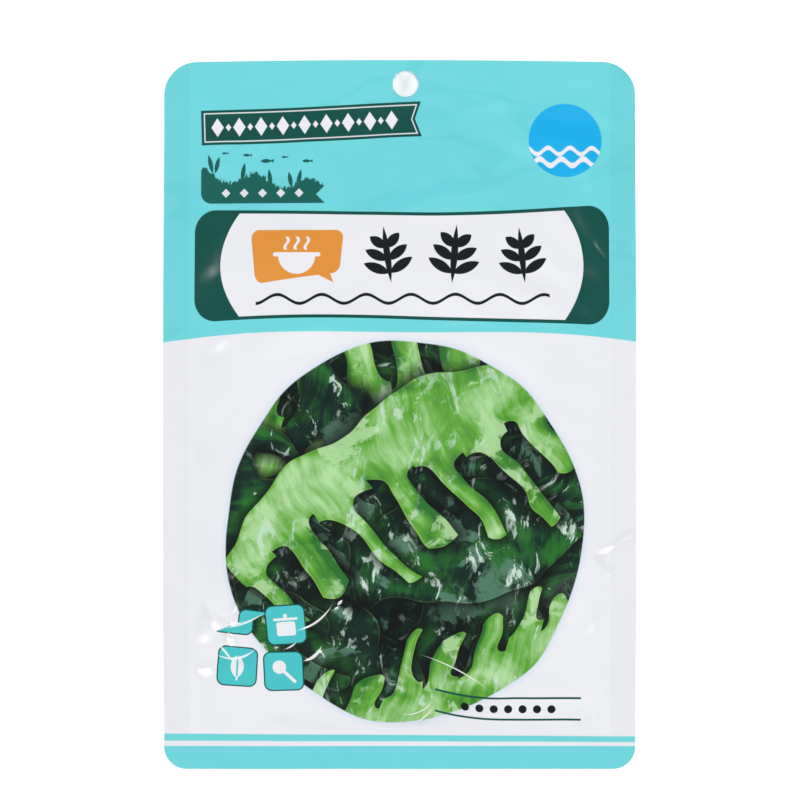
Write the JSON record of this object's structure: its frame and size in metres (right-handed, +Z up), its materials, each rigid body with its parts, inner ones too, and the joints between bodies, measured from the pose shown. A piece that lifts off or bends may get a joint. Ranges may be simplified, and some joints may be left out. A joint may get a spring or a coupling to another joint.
{
  "type": "sealed food pouch",
  "caption": "Flat laminate pouch, heat sealed on all sides, with a hang hole in its header, holding folded young kelp and lying on its back.",
  "frame": {"origin": "middle of the pouch's footprint, on the surface that it lies on", "axes": "+Z up out of the printed front, +Y along the pouch towards the header with the hang hole, +X to the right of the front"},
  "size_m": [0.16, 0.24, 0.0171],
  "materials": {
    "film_front": "glossy printed laminate, teal and pearl white",
    "film_back": "glossy laminate, pearl white",
    "kelp": "wet, smooth, dark green"
  },
  "bodies": {
    "root": {"front_film": "film_front", "back_film": "film_back", "kelp_frond_1": "kelp", "kelp_frond_2": "kelp", "kelp_frond_3": "kelp"}
  },
  "joints": []
}
